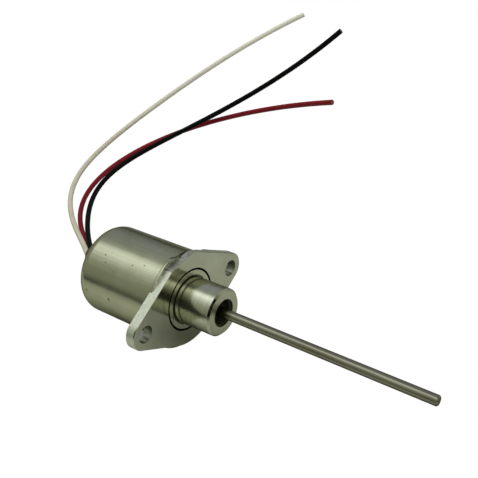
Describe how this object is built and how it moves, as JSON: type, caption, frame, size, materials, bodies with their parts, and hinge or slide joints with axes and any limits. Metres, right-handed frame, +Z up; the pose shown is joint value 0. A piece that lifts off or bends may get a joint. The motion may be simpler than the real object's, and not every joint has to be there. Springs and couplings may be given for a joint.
{
  "type": "solenoid actuator",
  "caption": "Cylindrical pull solenoid with a two-ear mounting flange, a tubular nose, a long plain plunger rod and flying leads.",
  "frame": {"origin": "centre of the flange's front (mounting) face, on the rod's axis, midway between the two bolt holes", "axes": "+X out along the rod, +Y towards one flange ear, +Z up with the flange's sheared side on top"},
  "size_m": [0.2083, 0.1846, 0.1031],
  "materials": {
    "can_plating": "satin zinc-nickel plate on drawn steel",
    "flange_plating": "satin plate on sheared and ground steel",
    "nose_steel": "fine turned, bright",
    "rod_steel": "ground, slightly browned",
    "plunger_steel": "plated, turned",
    "pole_steel": "turned",
    "spring_steel": "drawn wire",
    "brass": "drawn",
    "rubber": "moulded, matt",
    "bobbin_nylon": "natural moulded",
    "enamelled_copper": "enamelled copper wire",
    "tape": "polyester tape",
    "fibre": "pressed fibre",
    "potting": "cast resin",
    "crimp_tin": "tinned",
    "strand_copper": "bare strands",
    "insulation_white": "extruded, soft sheen",
    "insulation_red": "extruded, soft sheen",
    "insulation_black": "extruded, soft sheen"
  },
  "bodies": {
    "housing": {"housing_can": "can_plating", "mounting_flange": "flange_plating", "nose_piece": "nose_steel", "end_pole": "pole_steel", "return_spring": "spring_steel", "wave_washer": "spring_steel", "guide_tube": "brass", "anti_stick_shim": "brass", "front_bumper": "rubber", "outlet_grommet": "rubber", "coil_bobbin": "bobbin_nylon", "pull_winding": "enamelled_copper", "hold_winding": "enamelled_copper", "coil_tails": "enamelled_copper", "layer_tape": "tape", "outer_tape": "tape", "insulating_washer": "fibre", "rear_potting": "potting", "splice_crimps": "crimp_tin", "conductor_white": "strand_copper", "conductor_red": "strand_copper", "conductor_black": "strand_copper", "lead_white": "insulation_white", "lead_red": "insulation_red", "lead_black": "insulation_black"},
    "plunger": {"plunger": "plunger_steel", "plunger_rod": "rod_steel", "rod_clip": "plunger_steel"}
  },
  "joints": [
    {"name": "plunger_slide", "type": "slide", "parent": "housing", "child": "plunger", "axis": [-1, 0, 0], "range_m": [0, 0.012], "stiffness_N_per_m": 250, "springref_m": -0.02, "deforming": ["return_spring"]}
  ]
}
